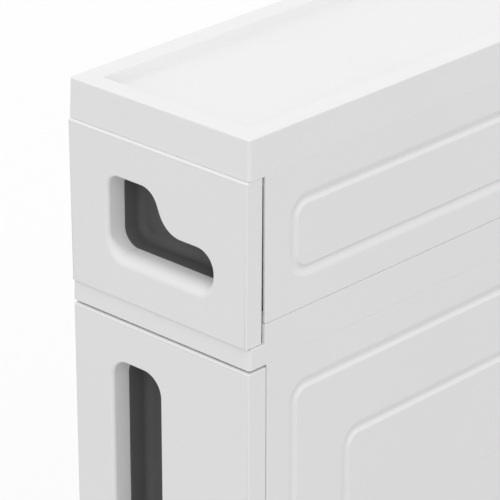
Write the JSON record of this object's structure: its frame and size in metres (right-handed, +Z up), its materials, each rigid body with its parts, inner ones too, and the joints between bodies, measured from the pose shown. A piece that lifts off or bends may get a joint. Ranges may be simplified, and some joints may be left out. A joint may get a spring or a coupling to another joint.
{
  "type": "slim storage trolley",
  "caption": "Slim white plastic storage trolley: a tray top, a small drawer over taller drawers with hand holes, ringed side panels, on swivel casters.",
  "frame": {"origin": "on the floor, under the middle of the trolley", "axes": "+X right, +Y towards the back so the drawers open along -Y, +Z up"},
  "size_m": [0.126, 0.38, 0.81],
  "materials": {
    "white_plastic": "satin moulded polypropylene, white",
    "drawer_plastic": "moulded polypropylene, off white",
    "grey_cup": "dark grey moulded plastic",
    "caster_plastic": "white nylon",
    "tread": "soft grey tread",
    "steel": "zinc plated steel"
  },
  "bodies": {
    "casing": {"top_board": "white_plastic", "shelf_board_1": "white_plastic", "shelf_board_2": "white_plastic", "base_board": "white_plastic", "side_panel_left_1": "white_plastic", "side_panel_right_1": "white_plastic", "side_panel_left_2": "white_plastic", "side_panel_right_2": "white_plastic", "side_panel_left_3": "white_plastic", "side_panel_right_3": "white_plastic", "back_panel_1": "white_plastic", "back_panel_2": "white_plastic", "back_panel_3": "white_plastic", "caster_socket_front_left": "caster_plastic", "caster_socket_front_right": "caster_plastic", "caster_socket_back_left": "caster_plastic", "caster_socket_back_right": "caster_plastic"},
    "drawer_1": {"drawer_front_1": "white_plastic", "handle_cup_1": "grey_cup", "drawer_box_1": "drawer_plastic", "front_screws_1": "steel"},
    "drawer_2": {"drawer_front_2": "white_plastic", "handle_cup_2": "grey_cup", "drawer_box_2": "drawer_plastic", "front_screws_2": "steel"},
    "drawer_3": {"drawer_front_3": "white_plastic", "handle_cup_3": "grey_cup", "drawer_box_3": "drawer_plastic", "front_screws_3": "steel"},
    "caster_front_left": {"caster_fork_front_left": "caster_plastic", "caster_stem_front_left": "steel", "caster_axle_front_left": "steel"},
    "wheel_front_left": {"caster_wheel_front_left": "caster_plastic", "caster_tyre_front_left": "tread"},
    "caster_front_right": {"caster_fork_front_right": "caster_plastic", "caster_stem_front_right": "steel", "caster_axle_front_right": "steel"},
    "wheel_front_right": {"caster_wheel_front_right": "caster_plastic", "caster_tyre_front_right": "tread"},
    "caster_back_left": {"caster_fork_back_left": "caster_plastic", "caster_stem_back_left": "steel", "caster_axle_back_left": "steel"},
    "wheel_back_left": {"caster_wheel_back_left": "caster_plastic", "caster_tyre_back_left": "tread"},
    "caster_back_right": {"caster_fork_back_right": "caster_plastic", "caster_stem_back_right": "steel", "caster_axle_back_right": "steel"},
    "wheel_back_right": {"caster_wheel_back_right": "caster_plastic", "caster_tyre_back_right": "tread"}
  },
  "joints": [
    {"name": "drawer_1_slide", "type": "slide", "parent": "casing", "child": "drawer_1", "axis": [0, -1, 0], "range_m": [0, 0.28]},
    {"name": "drawer_2_slide", "type": "slide", "parent": "casing", "child": "drawer_2", "axis": [0, -1, 0], "range_m": [0, 0.28]},
    {"name": "drawer_3_slide", "type": "slide", "parent": "casing", "child": "drawer_3", "axis": [0, -1, 0], "range_m": [0, 0.28]},
    {"name": "caster_front_left_swivel", "type": "hinge", "parent": "casing", "child": "caster_front_left", "pos_m": [-0.038, -0.1433, 0.05], "axis": [0, 0, 1], "continuous": true},
    {"name": "wheel_front_left_spin", "type": "hinge", "parent": "caster_front_left", "child": "wheel_front_left", "pos_m": [-0.038, -0.1293, 0.019], "axis": [1, 0, 0], "continuous": true},
    {"name": "caster_front_right_swivel", "type": "hinge", "parent": "casing", "child": "caster_front_right", "pos_m": [0.038, -0.1433, 0.05], "axis": [0, 0, 1], "continuous": true},
    {"name": "wheel_front_right_spin", "type": "hinge", "parent": "caster_front_right", "child": "wheel_front_right", "pos_m": [0.038, -0.1293, 0.019], "axis": [1, 0, 0], "continuous": true},
    {"name": "caster_back_left_swivel", "type": "hinge", "parent": "casing", "child": "caster_back_left", "pos_m": [-0.038, 0.14, 0.05], "axis": [0, 0, 1], "continuous": true},
    {"name": "wheel_back_left_spin", "type": "hinge", "parent": "caster_back_left", "child": "wheel_back_left", "pos_m": [-0.038, 0.154, 0.019], "axis": [1, 0, 0], "continuous": true},
    {"name": "caster_back_right_swivel", "type": "hinge", "parent": "casing", "child": "caster_back_right", "pos_m": [0.038, 0.14, 0.05], "axis": [0, 0, 1], "continuous": true},
    {"name": "wheel_back_right_spin", "type": "hinge", "parent": "caster_back_right", "child": "wheel_back_right", "pos_m": [0.038, 0.154, 0.019], "axis": [1, 0, 0], "continuous": true}
  ]
}
